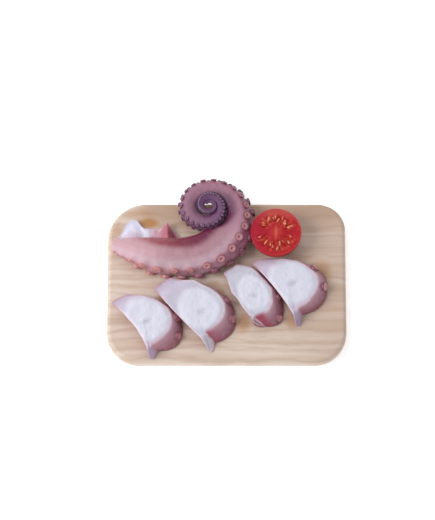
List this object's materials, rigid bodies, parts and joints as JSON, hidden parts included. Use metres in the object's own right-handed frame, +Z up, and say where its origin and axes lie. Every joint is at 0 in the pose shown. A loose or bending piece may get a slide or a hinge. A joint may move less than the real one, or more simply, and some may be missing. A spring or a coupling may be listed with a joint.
{
  "type": "cooked octopus on cutting board",
  "caption": "Cooked octopus served on a round-cornered wooden board: a curled arm with suckers, thick bias-cut arm slices and a halved tomato.",
  "frame": {"origin": "middle of the flat underside of the board, which is what the part stands on", "axes": "+X along the board to the right as served, +Y to the back where the coil hangs past the edge, +Z up"},
  "size_m": [0.28, 0.226, 0.049],
  "materials": {
    "board_wood": "bare sanded light wood with a fine lengthwise grain",
    "arm_skin": "moist skin, dusty rose turning mauve and dark purple in the coil",
    "slice_flesh": "moist white flesh with a rose skin side",
    "tomato_flesh": "wet red flesh with paler core and seeds"
  },
  "bodies": {
    "root": {"board": "board_wood", "curled_arm": "arm_skin", "slice_1": "slice_flesh", "slice_2": "slice_flesh", "slice_3": "slice_flesh", "slice_4": "slice_flesh", "tomato_half": "tomato_flesh"}
  },
  "joints": []
}
